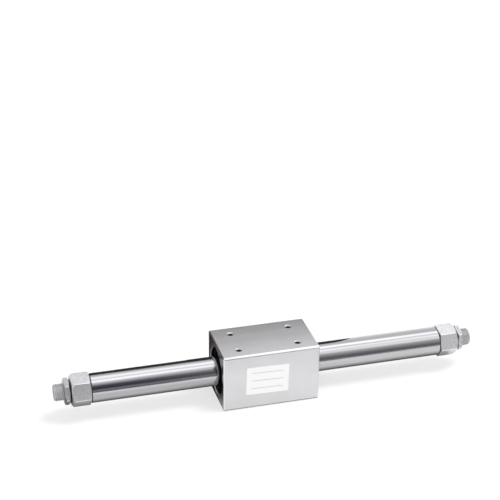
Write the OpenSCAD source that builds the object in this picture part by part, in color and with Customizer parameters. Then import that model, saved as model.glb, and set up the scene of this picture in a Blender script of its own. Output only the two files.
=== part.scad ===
// Rodless pneumatic cylinder with a magnetically coupled slider.
// A piston with ring magnets runs inside a closed stainless tube and carries
// a slider block along the outside, through the tube's wall.
// Millimetres. X runs along the tube and Z is up. The origin lies on the
// tube's axis, midway between the two ends.

/* [Tube and travel] */
// Bore of the tube
bore_d = 15; // [12:0.5:17]
// Wall of the tube
tube_wall = 1; // [0.7:0.1:1.5]
// Travel of the slider from one end to the other
stroke = 150; // [50:10:400]
// Where the slider stands, from the middle of its travel
slider_at = -2.5; // [-20:0.5:20]
// Space between the slider and a cover at the end of the travel
end_gap = 1.5; // [0.5:0.25:4]

/* [Covers] */
// Length of a cover's hexagon
cover_len = 11; // [9:0.5:18]
// How far each flat of the hexagon stands out past the tube
cover_over = 0; // [0:0.25:3]
// Turn of the hexagon about the tube's axis
cover_turn = 12; // [0:1:60]
// Axial length of the turned chamfer at the hexagon's outer corners
cover_chamfer = 1.3; // [0.5:0.1:2]
// How far the turned chamfers reach in from the hexagon's flats
cover_face_step = 0.3; // [0.1:0.1:1]
// Axial length of the chamfer at the hexagon's inner corners
cover_inner_chamfer = 0.5; // [0.2:0.1:1]
// Length of the collar between the hexagon and the tube's end
collar_len = 0.5; // [0.3:0.1:1]
// How deep the collar lies below the tube's outside
collar_step = 0.5; // [0.2:0.1:0.7]

/* [Studs and nuts] */
// Diameter of the threaded stud
stud_d = 10; // [8:0.5:12]
// Length of the threaded stud
stud_len = 9.5; // [8:0.5:20]
// Length of the thread relief beside the hexagon
relief_len = 1.2; // [0.6:0.1:1.5]
// Depth of the thread relief
relief_depth = 0.7; // [0.4:0.1:1]
// Chamfer at the stud's end
stud_chamfer = 0.7; // [0.3:0.1:1.2]
// Mouth of the centre drilling in the stud's end
centre_d = 3; // [2:0.5:4]
// Width of a mounting nut across its flats
nut_af = 14; // [13.5:0.5:20]
// Thickness of a mounting nut
nut_t = 3; // [2.5:0.5:6]
// Space between a nut and its cover
nut_gap = 0.8; // [0.2:0.1:2]
// Axial length of the chamfers at a nut's corners
nut_chamfer = 0.6; // [0.3:0.1:1]
// How far a nut's chamfers reach in from its flats
nut_face_step = 0.2; // [0.1:0.1:0.6]
// Chamfer at both mouths of a nut's bore
nut_lead = 0.4; // [0.2:0.1:0.8]
// Turn of the left nut about the tube's axis
left_nut_turn = 13; // [0:1:60]
// Turn of the right nut about the tube's axis
right_nut_turn = 20; // [0:1:60]

/* [Air ports] */
// Diameter of a port, tapped for a 5 mm fitting
port_d = 4.2; // [3:0.2:5]
// Depth of a port below its flat
port_depth = 5; // [3:0.25:5.5]
// Chamfer at the mouth of a port
port_chamfer = 0.4; // [0.2:0.1:0.8]
// Distance from a port to its cover's outer end
port_from_end = 5.5; // [4.5:0.25:6.5]
// Diameter of the air passage through a cover's spigot
passage_d = 3.5; // [2:0.25:4.5]
// Diameter of the drilling between a port and its passage
link_d = 2; // [1:0.25:3]

/* [Slider block] */
// Length of the block along the tube
slider_len = 57; // [55:1:90]
// Width of the block
slider_w = 35; // [32:0.5:60]
// Height of the block
slider_h = 35; // [32:0.5:60]
// Chamfer along the block's four long edges
long_edge = 1; // [0.3:0.1:1.5]
// Chamfer round the block's two end faces
end_edge = 0.6; // [0.2:0.1:1]
// Distance between the mounting holes along the tube
hole_pitch_x = 35; // [20:1:37]
// Distance between the mounting holes across the tube
hole_pitch_y = 19; // [14:0.5:26]
// Diameter of a mounting hole, tapped for a 4 mm screw
hole_d = 3.3; // [2:0.1:4.2]
// Depth of a mounting hole
hole_depth = 6; // [3:0.5:6.5]
// Chamfer at the mouth of a mounting hole
hole_chamfer = 0.5; // [0.2:0.1:0.8]

/* [Magnetic coupling] */
// Number of ring magnets on the piston, and as many in the slider
magnet_count = 4; // [2:1:4]
// Thickness of a ring magnet
magnet_t = 4.5; // [3:0.25:5]
// Thickness of a yoke beside a magnet
yoke_t = 2; // [1:0.25:2.5]
// Radial air gap between the tube and the yokes inside it
inner_air = 0.25; // [0.15:0.05:0.5]
// Radial air gap between the tube and the yokes around it
outer_air = 0.35; // [0.2:0.05:0.6]
// How far a yoke stands proud of its magnets towards the tube
yoke_proud = 0.15; // [0.05:0.05:0.4]
// Radial width of the yokes in the slider
outer_yoke_w = 4.1; // [3:0.1:4.4]
// Diameter of the shaft through the piston
shaft_d = 5; // [3:0.25:5.5]

/* [Piston ends] */
// Thickness of the cushion ring on each cover's spigot
bumper_t = 1.5; // [1:0.25:2.25]
// Radial space round a cushion ring, so that it can spread when it is hit
bumper_play = 0.3; // [0.2:0.1:1]
// Chamfer of the turned edges on the cushion rings, pistons and wear rings
fine_edge = 0.3; // [0.1:0.1:0.4]
// Radial space round a piston end
piston_play = 0.15; // [0.1:0.05:0.3]
// Land between a piston end's inner face and its wear ring
inner_land = 1; // [0.6:0.1:1.2]
// Land between a piston end's wear ring and its seal
middle_land = 0.8; // [0.5:0.1:1]
// Width of a piston end's wear ring
piston_ring_w = 2; // [1.5:0.25:2.25]
// Depth of a piston end's wear ring
piston_ring_depth = 0.8; // [0.6:0.1:1.2]
// Width of a piston end's lip seal
seal_w = 2.2; // [1.6:0.1:2.4]
// Land between a piston end's seal and its outer face
outer_land = 1.9; // [1.2:0.1:3]
// Radial depth of a piston end's lip seal
seal_depth = 1.8; // [1.4:0.1:2]
// Thickness of the sealing lips at their edges
lip_t = 0.45; // [0.3:0.05:0.6]
// Gap where a piston end's wear ring is cut through
ring_split = 0.6; // [0.2:0.1:1.5]
// Cord of the gasket between a cover and the tube
gasket_cord = 1.4; // [1:0.1:2]
// Land between a spigot's face and its gasket
gasket_land = 1.2; // [0.8:0.1:2]
// Width of a piston nut across its flats
piston_nut_af = 8; // [7:0.25:8.5]
// Thickness of a piston nut
piston_nut_t = 2.7; // [2:0.1:3.2]
// How deep a piston nut lies below the piston end's face
piston_nut_sink = 0.3; // [0.1:0.1:0.5]
// Radial space round a piston nut's corners
piston_nut_play = 0.2; // [0.1:0.05:0.3]

/* [Slider ends] */
// Depth of the open mouth in front of a retaining ring
mouth_depth = 2.6; // [1:0.1:3]
// Chamfer round the mouth
mouth_chamfer = 0.6; // [0.3:0.1:1]
// Radial step from the slider's bore to its end bores
end_step = 0.9; // [0.5:0.1:1.1]
// Thickness of a retaining ring
clip_t = 1.2; // [1:0.1:1.5]
// Radial width of a retaining ring opposite its gap
clip_w = 2.2; // [1.6:0.1:2.8]
// Radial width of a retaining ring beside its gap
clip_thin_w = 1.3; // [0.8:0.1:1.5]
// Depth of a retaining ring's groove
clip_groove = 0.7; // [0.4:0.1:1]
// Radius of a retaining ring's lugs
clip_lug_r = 1.7; // [1.4:0.1:1.9]
// Radial space between a retaining ring's lugs and the end bore
clip_lug_play = 0.3; // [0.2:0.1:0.5]
// Diameter of the plier holes in the lugs
clip_hole_d = 1.6; // [1:0.1:2]
// Gap between a retaining ring's lugs
clip_gap = 3; // [2:0.25:6]
// Width of a scraper
scraper_w = 2.8; // [2:0.1:3]
// Thickness of the web between a scraper's rim and its lip
scraper_web = 1.1; // [0.6:0.1:1.5]
// Radial width of a scraper's rim and of its hub
scraper_rim = 1.6; // [1:0.1:1.8]
// Thickness of a scraper's lip at its edge
scraper_lip = 0.35; // [0.2:0.05:0.5]
// Thickness of the spacer behind a scraper
spacer_t = 1.2; // [0.8:0.1:1.4]
// Width of a grease retainer
retainer_w = 1.6; // [1:0.1:2.4]

/* [Clearances] */
// Radial clearance of the parts that slide on the tube or in it
slide_fit = 0.05; // [0.03:0.01:0.08]
// Radial clearance of the parts that sit still in a bore
seat_fit = 0.05; // [0.02:0.01:0.1]
// Radial clearance of a nut on its stud
thread_fit = 0.05; // [0.02:0.01:0.1]
// Space between the piston and its cushion at the end of the travel
stop_gap = 0.1; // [0.05:0.05:0.3]
// Play of a retaining ring in its groove
clip_play = 0.1; // [0.05:0.05:0.2]

/* [Hidden] */

LEFT = -1;
RIGHT = 1;
$fn = 72;
// How far a cutting shape runs past the face that it cuts
past = 0.5;
// Angle from a corner of a hexagon to the middle of the next flat
half_side = 30;

function corner_radius(af) = af / 2 / cos(half_side);

bore_r = bore_d / 2;
tube_r = bore_r + tube_wall;

// The magnet stacks, measured from the slider's middle towards one end, and
// the piston end that follows the inner stack
stack_half = (magnet_count * magnet_t + (magnet_count + 1) * yoke_t) / 2;
pitch = magnet_t + yoke_t;
piston_ring_x = stack_half + inner_land;
seal_x = piston_ring_x + piston_ring_w + middle_land;
piston_half = seal_x + seal_w + outer_land;
piston_r = bore_r - piston_play;
seal_r = bore_r - slide_fit;
nut_recess_r = corner_radius(piston_nut_af) + piston_nut_play;
piston_nut_x = piston_half - piston_nut_sink - piston_nut_t;
shaft_half = piston_half - piston_nut_sink;
shaft_hole_r = shaft_d / 2 + seat_fit;

// Faces along the tube, measured from its middle towards one end. The slider
// stops short of the hexagon, where the piston meets the cushion inside.
hex_face = (stroke + slider_len) / 2 + end_gap;
tube_end = hex_face - collar_len;
bumper_face = stroke / 2 + piston_half + stop_gap;
spigot_face = bumper_face + bumper_t;
cover_end = hex_face + cover_len;
stud_end = cover_end + stud_len;
port_x = cover_end - port_from_end;

// The cover's hexagon, and the flat that carries the port
cover_af = 2 * (tube_r + cover_over);
port_turn = cover_turn + half_side;

// The spigot and its gasket
spigot_r = bore_r - seat_fit;
gasket_r = bore_r - seat_fit - gasket_cord / 2;
gasket_floor_r = gasket_r - gasket_cord / 2 - seat_fit;
gasket_x = spigot_face + gasket_land + gasket_cord / 2 + seat_fit;

// The slider's bore and the rings in it
outer_yoke_r = tube_r + outer_air + outer_yoke_w;
slider_bore_r = outer_yoke_r + seat_fit;
end_bore_r = slider_bore_r + end_step;
clip_x = slider_len / 2 - mouth_depth - clip_t;
scraper_x = clip_x - clip_play - scraper_w;
shoulder_x = scraper_x - spacer_t;
retainer_x = shoulder_x - retainer_w;
running_r = tube_r + slide_fit;

module along_x() rotate([0, 90, 0]) children();

// Puts what is drawn for the right end at the right end or the left end
module at_end(side) mirror([side == LEFT ? 1 : 0, 0, 0]) children();

// A solid of revolution about X, from points [radius, x]
module turned(profile) along_x() rotate_extrude() polygon(profile);

module ring(inner_r, outer_r, from_x, to_x) {
    turned([[inner_r, from_x], [outer_r, from_x], [outer_r, to_x], [inner_r, to_x]]);
}

module rod(r, from_x, to_x) {
    translate([from_x, 0, 0]) along_x() cylinder(r = r, h = to_x - from_x);
}

module hexagon(af, from_x, to_x, turn) {
    translate([from_x, 0, 0]) along_x() rotate([0, 0, 90 + turn])
        cylinder(r = corner_radius(af), h = to_x - from_x, $fn = 6);
}

// A hexagon with cones turned on both ends, each running out at the corners
module chamfered_hexagon(af, from_x, to_x, turn, face_step, from_chamfer, to_chamfer) {
    face_r = af / 2 - face_step;
    corner_r = corner_radius(af);
    spread = (corner_r + past - face_r) / (corner_r - face_r);
    intersection() {
        hexagon(af, from_x, to_x, turn);
        turned([
            [0, from_x],
            [face_r, from_x],
            [corner_r + past, from_x + from_chamfer * spread],
            [corner_r + past, to_x - to_chamfer * spread],
            [face_r, to_x],
            [0, to_x]
        ]);
    }
}

module cylinder_tube() {
    color("#c9ccd0") ring(bore_r, tube_r, -tube_end, tube_end);
}

// Half the angle of a centre drill's cone, and of a twist drill's flat cone
centre_half_angle = 30;
drill_half_angle = 59;

// Spigot, collar and threaded stud are turned in one piece with the hexagon
module cover_turning() {
    relief_end = cover_end + relief_len;
    neck_r = stud_d / 2 - relief_depth;
    turned([
        [0, spigot_face],
        [spigot_r, spigot_face],
        [spigot_r, gasket_x - gasket_cord / 2 - seat_fit],
        [gasket_floor_r, gasket_x - gasket_cord / 2 - seat_fit],
        [gasket_floor_r, gasket_x + gasket_cord / 2 + seat_fit],
        [spigot_r, gasket_x + gasket_cord / 2 + seat_fit],
        [spigot_r, tube_end],
        [tube_r - collar_step, tube_end],
        [tube_r - collar_step, hex_face + past],
        [neck_r, hex_face + past],
        [neck_r, relief_end],
        [stud_d / 2, relief_end + relief_depth],
        [stud_d / 2, stud_end - stud_chamfer],
        [stud_d / 2 - stud_chamfer, stud_end],
        [0, stud_end]
    ]);
}

module port_drilling() {
    flat = cover_af / 2;
    r = port_d / 2;
    cone_h = port_chamfer + past;
    translate([port_x, 0, 0]) rotate([port_turn - 90, 0, 0]) {
        translate([0, 0, flat - port_depth]) cylinder(r = r, h = port_depth + past);
        translate([0, 0, flat - port_chamfer]) cylinder(r1 = r, r2 = r + cone_h, h = cone_h);
        cylinder(r = link_d / 2, h = flat);
    }
}

module cover(side) {
    color("#b9babc") at_end(side) difference() {
        union() {
            chamfered_hexagon(cover_af, hex_face, cover_end, cover_turn, cover_face_step,
                cover_inner_chamfer, cover_chamfer);
            cover_turning();
        }
        rod(passage_d / 2, spigot_face - past, port_x + link_d / 2);
        port_drilling();
        turned([
            [0, stud_end - centre_d / 2 / tan(centre_half_angle)],
            [centre_d / 2 + past * tan(centre_half_angle), stud_end + past],
            [0, stud_end + past]
        ]);
    }
}

module gasket(side) {
    color("#26262a") at_end(side) translate([gasket_x, 0, 0]) along_x()
        rotate_extrude() translate([gasket_r, 0]) circle(r = gasket_cord / 2, $fn = 32);
}

module bumper(side) {
    inner_r = passage_d / 2 + bumper_play;
    outer_r = bore_r - bumper_play;
    color("#d8c9a0") at_end(side) turned([
        [inner_r, spigot_face],
        [outer_r, spigot_face],
        [outer_r, bumper_face + fine_edge],
        [outer_r - fine_edge, bumper_face],
        [inner_r + fine_edge, bumper_face],
        [inner_r, bumper_face + fine_edge]
    ]);
}

module mounting_nut(side, turn) {
    from_x = cover_end + nut_gap;
    to_x = from_x + nut_t;
    bore = stud_d / 2 + thread_fit;
    mouth = bore + nut_lead + past;
    color("#c4c5c6") at_end(side) difference() {
        chamfered_hexagon(nut_af, from_x, to_x, turn, nut_face_step, nut_chamfer, nut_chamfer);
        turned([
            [0, from_x - past],
            [mouth, from_x - past],
            [bore, from_x + nut_lead],
            [bore, to_x - nut_lead],
            [mouth, to_x + past],
            [0, to_x + past]
        ]);
    }
}

module piston_shaft() {
    color("#aeb2b6") translate([slider_at, 0, 0]) rod(shaft_d / 2, -shaft_half, shaft_half);
}

module piston(side) {
    color("#c9ad5f") translate([slider_at, 0, 0]) at_end(side) difference() {
        turned([
            [shaft_hole_r, stack_half],
            [piston_r, stack_half],
            [piston_r, piston_ring_x],
            [seal_r - piston_ring_depth, piston_ring_x],
            [seal_r - piston_ring_depth, piston_ring_x + piston_ring_w],
            [piston_r, piston_ring_x + piston_ring_w],
            [piston_r, seal_x],
            [seal_r - seal_depth, seal_x],
            [seal_r - seal_depth, seal_x + seal_w],
            [piston_r, seal_x + seal_w],
            [piston_r, piston_half - fine_edge],
            [piston_r - fine_edge, piston_half],
            [shaft_hole_r, piston_half]
        ]);
        rod(nut_recess_r, piston_nut_x, piston_half + past);
    }
}

// A lip seal that opens towards the pressure side
module piston_seal(side) {
    floor_r = seal_r - seal_depth;
    color("#1f1f22") translate([slider_at, 0, 0]) at_end(side) turned([
        [floor_r, seal_x],
        [piston_r, seal_x],
        [seal_r, seal_x + seal_w],
        [seal_r - lip_t, seal_x + seal_w],
        [seal_r - seal_depth / 2, seal_x + seal_w / 2],
        [floor_r + lip_t, seal_x + seal_w],
        [floor_r, seal_x + seal_w]
    ]);
}

// A guide band, cut through once so that it can be sprung into its groove
module piston_wear_ring(side) {
    color("#7c4a2e") translate([slider_at, 0, 0]) at_end(side) difference() {
        ring(seal_r - piston_ring_depth, seal_r, piston_ring_x, piston_ring_x + piston_ring_w);
        translate([piston_ring_x - past, -ring_split / 2, 0])
            cube([piston_ring_w + 2 * past, ring_split, bore_r]);
    }
}

module piston_nut(side) {
    color("#b4b6b8") translate([slider_at, 0, 0]) at_end(side) difference() {
        hexagon(piston_nut_af, piston_nut_x, piston_nut_x + piston_nut_t, 0);
        rod(shaft_hole_r, piston_nut_x - past, piston_nut_x + piston_nut_t + past);
    }
}

// Left face of the numbered yoke, and of the magnet that follows it
function yoke_x(i) = -stack_half + (i - 1) * pitch;
function magnet_x(i) = yoke_x(i) + yoke_t;

module inner_magnet(i) {
    color("#6f7276") translate([slider_at, 0, 0])
        ring(shaft_hole_r, bore_r - inner_air - yoke_proud, magnet_x(i), magnet_x(i) + magnet_t);
}

module inner_yoke(i) {
    color("#9fa2a5") translate([slider_at, 0, 0])
        ring(shaft_hole_r, bore_r - inner_air, yoke_x(i), yoke_x(i) + yoke_t);
}

module outer_magnet(i) {
    color("#6f7276") translate([slider_at, 0, 0])
        ring(tube_r + outer_air + yoke_proud, outer_yoke_r, magnet_x(i), magnet_x(i) + magnet_t);
}

module outer_yoke(i) {
    color("#9fa2a5") translate([slider_at, 0, 0])
        ring(tube_r + outer_air, outer_yoke_r, yoke_x(i), yoke_x(i) + yoke_t);
}

// A plate outline with its corners cut at 45 degrees
module cut_corner_plate(l, w, c) {
    x = l / 2;
    y = w / 2;
    polygon([
        [x, y - c], [x - c, y], [c - x, y], [-x, y - c],
        [-x, c - y], [c - x, -y], [x - c, -y], [x, c - y]
    ]);
}

module slider_block() {
    intersection() {
        translate([-slider_len / 2, 0, 0]) along_x()
            linear_extrude(slider_len) cut_corner_plate(slider_h, slider_w, long_edge);
        linear_extrude(slider_h + 2 * past, center = true)
            cut_corner_plate(slider_len, slider_w, end_edge);
        rotate([90, 0, 0]) linear_extrude(slider_w + 2 * past, center = true)
            cut_corner_plate(slider_len, slider_h, end_edge);
    }
}

// End bore with the retaining ring's groove and a chamfered mouth
module slider_end_bore() {
    face = slider_len / 2;
    mouth_r = end_bore_r + mouth_chamfer;
    turned([
        [0, shoulder_x],
        [end_bore_r, shoulder_x],
        [end_bore_r, clip_x - clip_play],
        [end_bore_r + clip_groove, clip_x - clip_play],
        [end_bore_r + clip_groove, clip_x + clip_t],
        [end_bore_r, clip_x + clip_t],
        [end_bore_r, face - mouth_chamfer],
        [mouth_r + past, face + past],
        [0, face + past]
    ]);
}

module tapped_hole() {
    r = hole_d / 2;
    tip = r / tan(drill_half_angle);
    mouth_r = r + hole_chamfer + past;
    translate([0, 0, -hole_depth]) cylinder(r = r, h = hole_depth + past);
    translate([0, 0, -hole_depth - tip]) cylinder(r1 = 0, r2 = r, h = tip);
    translate([0, 0, -hole_chamfer]) cylinder(r1 = r, r2 = mouth_r, h = hole_chamfer + past);
}

module slider_body() {
    color("#d2d1d3") translate([slider_at, 0, 0]) difference() {
        slider_block();
        rod(slider_bore_r, -slider_len / 2 - past, slider_len / 2 + past);
        for (side = [LEFT, RIGHT]) at_end(side) slider_end_bore();
        for (sx = [-1, 1], sy = [-1, 1])
            translate([sx * hole_pitch_x / 2, sy * hole_pitch_y / 2, slider_h / 2]) tapped_hole();
    }
}

module wear_ring(side) {
    color("#3b3733") translate([slider_at, 0, 0]) at_end(side) turned([
        [running_r, stack_half],
        [outer_yoke_r, stack_half],
        [outer_yoke_r, retainer_x],
        [running_r + fine_edge, retainer_x],
        [running_r, retainer_x - fine_edge]
    ]);
}

module grease_retainer(side) {
    color("#8d8467") translate([slider_at, 0, 0]) at_end(side)
        ring(running_r, outer_yoke_r, retainer_x, shoulder_x);
}

module spacer(side) {
    color("#9a9da0") translate([slider_at, 0, 0]) at_end(side)
        ring(tube_r + outer_air, end_bore_r - seat_fit, shoulder_x, scraper_x);
}

// A rubber wiper: a rim, a thin web, and a lip that leans out along the tube
module scraper(side) {
    rim_r = end_bore_r - seat_fit;
    hub_r = tube_r + scraper_rim;
    front_x = scraper_x + scraper_w;
    color("#17171a") translate([slider_at, 0, 0]) at_end(side) turned([
        [hub_r, scraper_x],
        [rim_r, scraper_x],
        [rim_r, front_x],
        [rim_r - scraper_rim, front_x],
        [rim_r - scraper_rim, scraper_x + scraper_web],
        [hub_r, scraper_x + scraper_web],
        [running_r + scraper_lip, front_x],
        [running_r, front_x],
        [hub_r - scraper_web, scraper_x]
    ]);
}

// An internal snap ring, wide opposite its gap, with two lugs for pliers
module retaining_ring(side) {
    outer_r = end_bore_r + clip_groove - seat_fit;
    lug_at = end_bore_r - clip_lug_play - clip_lug_r;
    lug_turn = asin((clip_gap / 2 + clip_lug_r) / lug_at);
    color("#2b2c2f") translate([slider_at, 0, 0]) at_end(side) translate([clip_x, 0, 0])
        along_x() linear_extrude(clip_t) difference() {
            union() {
                difference() {
                    circle(r = outer_r);
                    translate([(clip_w - clip_thin_w) / 2, 0])
                        circle(r = outer_r - (clip_w + clip_thin_w) / 2);
                    translate([0, -clip_gap / 2]) square([outer_r + past, clip_gap]);
                }
                for (s = [-1, 1]) rotate(s * lug_turn) translate([lug_at, 0]) circle(r = clip_lug_r);
            }
            for (s = [-1, 1]) rotate(s * lug_turn) translate([lug_at, 0]) circle(d = clip_hole_d, $fn = 32);
        }
}

cylinder_tube();
cover(LEFT);  // left_cover
gasket(LEFT);  // left_gasket
bumper(LEFT);  // left_bumper
mounting_nut(LEFT, left_nut_turn);  // left_mounting_nut
cover(RIGHT);  // right_cover
gasket(RIGHT);  // right_gasket
bumper(RIGHT);  // right_bumper
mounting_nut(RIGHT, right_nut_turn);  // right_mounting_nut
piston_shaft();
piston(LEFT);  // left_piston
piston_seal(LEFT);  // left_piston_seal
piston_wear_ring(LEFT);  // left_piston_wear_ring
piston_nut(LEFT);  // left_piston_nut
piston(RIGHT);  // right_piston
piston_seal(RIGHT);  // right_piston_seal
piston_wear_ring(RIGHT);  // right_piston_wear_ring
piston_nut(RIGHT);  // right_piston_nut
for (i = [1 : magnet_count]) {
    inner_magnet(i);
    outer_magnet(i);
}
for (i = [1 : magnet_count + 1]) {
    inner_yoke(i);
    outer_yoke(i);
}
slider_body();
wear_ring(LEFT);  // left_wear_ring
grease_retainer(LEFT);  // left_grease_retainer
spacer(LEFT);  // left_spacer
scraper(LEFT);  // left_scraper
retaining_ring(LEFT);  // left_retaining_ring
wear_ring(RIGHT);  // right_wear_ring
grease_retainer(RIGHT);  // right_grease_retainer
spacer(RIGHT);  // right_spacer
scraper(RIGHT);  // right_scraper
retaining_ring(RIGHT);  // right_retaining_ring
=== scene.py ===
import math

import bmesh
import bpy
from mathutils import Matrix, Vector


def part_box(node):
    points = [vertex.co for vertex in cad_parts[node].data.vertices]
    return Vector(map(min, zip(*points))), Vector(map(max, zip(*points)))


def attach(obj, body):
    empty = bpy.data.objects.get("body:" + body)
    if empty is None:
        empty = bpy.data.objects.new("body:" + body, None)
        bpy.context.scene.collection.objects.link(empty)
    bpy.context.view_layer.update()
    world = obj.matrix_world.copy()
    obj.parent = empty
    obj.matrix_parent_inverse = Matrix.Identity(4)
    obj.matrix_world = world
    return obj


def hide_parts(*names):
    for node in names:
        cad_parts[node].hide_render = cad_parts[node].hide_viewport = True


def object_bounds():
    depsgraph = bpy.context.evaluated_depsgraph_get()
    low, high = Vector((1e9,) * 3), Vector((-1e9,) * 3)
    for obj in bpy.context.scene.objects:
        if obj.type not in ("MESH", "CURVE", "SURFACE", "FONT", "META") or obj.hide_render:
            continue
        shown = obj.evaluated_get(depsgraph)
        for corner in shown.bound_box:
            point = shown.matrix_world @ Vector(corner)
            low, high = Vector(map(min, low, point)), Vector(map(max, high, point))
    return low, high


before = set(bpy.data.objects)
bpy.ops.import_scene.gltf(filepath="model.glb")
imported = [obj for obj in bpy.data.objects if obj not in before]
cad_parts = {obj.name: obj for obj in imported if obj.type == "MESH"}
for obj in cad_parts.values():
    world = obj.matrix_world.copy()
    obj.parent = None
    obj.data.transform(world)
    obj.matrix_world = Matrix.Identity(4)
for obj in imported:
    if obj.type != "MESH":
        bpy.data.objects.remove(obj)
cad_low, cad_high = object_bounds()

# --- Cylinder tube ---------------------------------------------------------
# A thin drawn tube of stainless steel, ground and then polished, because the
# slider's wipers run on it. The drawing leaves long faint streaks and the
# polishing leaves fine rings round it.

MM = 0.001
STREAKS_PER_METRE = 9.0
# Most of a noise's values lie in this range, so finishes go from one tone to the other across it
NOISE_RANGE = (0.3, 0.7)


def node(tree, kind, inputs=(), **settings):
    """Adds a shader node, sets it, and links or fills its inputs."""
    made = tree.nodes.new("ShaderNode" + kind)
    for name, value in settings.items():
        setattr(made, name, value)
    for name, value in dict(inputs).items():
        if isinstance(value, bpy.types.NodeSocket):
            tree.links.new(value, made.inputs[name])
        else:
            made.inputs[name].default_value = value
    return made


def calculate(tree, operation, a, b=0.0):
    """One step of arithmetic with numbers or outputs."""
    return node(tree, "Math", {0: a, 1: b}, operation=operation).outputs[0]


def noise(tree, place, scale, detail, roughness=0.5, dimensions="3D"):
    """Noise that changes over the surface."""
    return node(tree, "TexNoise", {
        "Vector": place, "Scale": scale, "Detail": detail, "Roughness": roughness,
    }, noise_dimensions=dimensions).outputs["Fac"]


def carry_over(tree, value, span, result=(0.0, 1.0)):
    """Takes a value from its span to the range of the result, and holds it at both ends."""
    return node(tree, "MapRange", {
        "Value": value, "From Min": span[0], "From Max": span[1], "To Min": result[0], "To Max": result[1],
    }).outputs["Result"]


def mix_colours(tree, share, first, second):
    """Goes from the first colour to the second as the share goes from 0 to 1."""
    return node(tree, "Mix", {"Factor": share, 6: first, 7: second}, data_type="RGBA").outputs[2]


def effect(name, inputs, outputs):
    """A shader node group with named sockets: the group, what it is given and what is wanted of it."""
    group = bpy.data.node_groups.new(name, "ShaderNodeTree")
    for socket, kind in inputs.items():
        group.interface.new_socket(socket, in_out="INPUT", socket_type="NodeSocket" + kind)
    for socket in outputs:
        group.interface.new_socket(socket, in_out="OUTPUT", socket_type="NodeSocketFloat")
    given = group.nodes.new("NodeGroupInput").outputs
    wanted = group.nodes.new("NodeGroupOutput").inputs
    return group, given, wanted


def build_drawn_streaks():
    """Long streaks that run with the tube's axis, as drawing and extruding leave them."""
    group, given, wanted = effect("drawn_streaks", {"Place": "Vector", "Width": "Float"}, ["Streaks"])
    across = calculate(group, "DIVIDE", 1.0, given["Width"])
    axes = node(group, "SeparateXYZ", {0: given["Place"]}).outputs
    stretched = node(group, "CombineXYZ", {
        "X": calculate(group, "MULTIPLY", axes["X"], STREAKS_PER_METRE),
        "Y": calculate(group, "MULTIPLY", axes["Y"], across),
        "Z": calculate(group, "MULTIPLY", axes["Z"], across),
    }).outputs[0]
    streaks = noise(group, stretched, scale=1.0, detail=3.0, roughness=0.6)
    group.links.new(streaks, wanted["Streaks"])
    return group


def build_lathe_rings():
    """Rings round the tube's axis, as turning and polishing leave them on walls and on end faces."""
    group, given, wanted = effect("lathe_rings", {"Place": "Vector", "Width": "Float"}, ["Rings"])
    axes = node(group, "SeparateXYZ", {0: given["Place"]}).outputs
    y_squared = calculate(group, "MULTIPLY", axes["Y"], axes["Y"])
    z_squared = calculate(group, "MULTIPLY", axes["Z"], axes["Z"])
    radius = calculate(group, "SQRT", calculate(group, "ADD", y_squared, z_squared))
    flat = node(group, "CombineXYZ", {"X": axes["X"], "Y": radius}).outputs[0]
    scale = calculate(group, "DIVIDE", 1.0, given["Width"])
    rings = noise(group, flat, scale, detail=4.0, roughness=0.65, dimensions="2D")
    group.links.new(rings, wanted["Rings"])
    return group


drawn_streaks = build_drawn_streaks()
lathe_rings = build_lathe_rings()


def streaks_on(tree, place, width):
    """Drawn streaks of a given width."""
    return node(tree, "Group", {"Place": place, "Width": width}, node_tree=drawn_streaks).outputs["Streaks"]


def rings_on(tree, place, width):
    """Lathe rings of a given width."""
    return node(tree, "Group", {"Place": place, "Width": width}, node_tree=lathe_rings).outputs["Rings"]


def new_material(name):
    """A material and its node tree."""
    material = bpy.data.materials.new(name)
    material.use_nodes = True
    return material, material.node_tree


def new_finish(name, metallic):
    """A material, its node tree and the point on the piece that its patterns read."""
    material, tree = new_material(name)
    tree.nodes["Principled BSDF"].inputs["Metallic"].default_value = metallic
    return material, tree, node(tree, "TexCoord").outputs["Object"]


def feed(tree, socket, source):
    """Lets an output that changes over the surface feed one of the shader's sockets."""
    tree.links.new(source, tree.nodes["Principled BSDF"].inputs[socket])


def paint(tree, mask, light, dark):
    """Colours the surface from light to dark as the mask goes from low to high."""
    share = carry_over(tree, mask, NOISE_RANGE)
    feed(tree, "Base Color", mix_colours(tree, share, (*light, 1.0), (*dark, 1.0)))


def gloss(tree, mask, smooth, rough):
    """Makes the surface duller as the mask goes from low to high."""
    feed(tree, "Roughness", carry_over(tree, mask, NOISE_RANGE, (smooth, rough)))


def relief(tree, *layers):
    """Stacks patterns as fine relief, each with its height in metres."""
    normal = None
    for height, depth in layers:
        inputs = {"Height": height, "Distance": depth}
        if normal is not None:
            inputs["Normal"] = normal
        normal = node(tree, "Bump", inputs).outputs["Normal"]
    feed(tree, "Normal", normal)


def polished_stainless():
    """Broad streaks in tone and relief, hair-fine streaks in the polish, and the faintest of rings."""
    material, tree, place = new_finish("polished_stainless", metallic=1.0)
    streaks = streaks_on(tree, place, 1.6 * MM)
    hairs = streaks_on(tree, place, 0.35 * MM)
    rings = rings_on(tree, place, 0.5 * MM)
    paint(tree, streaks, light=(0.55, 0.55, 0.56), dark=(0.46, 0.46, 0.475))
    gloss(tree, hairs, smooth=0.08, rough=0.17)
    relief(tree, (streaks, 0.03 * MM), (hairs, 0.002 * MM), (rings, 0.0008 * MM))
    return material


def finish_nodes(node_names, finish):
    """Gives CAD nodes their finish."""
    for name in node_names:
        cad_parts[name].data.materials.clear()
        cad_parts[name].data.materials.append(finish)


finish_nodes(["cylinder_tube"], polished_stainless())

# --- End covers ------------------------------------------------------------
# Turned from hexagonal aluminium bar and nickel plated: a hexagon, a spigot
# that is glued into the tube, and a stud with a 10 mm fine thread. A port for
# an air fitting is tapped into one flat at the back.

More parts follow.
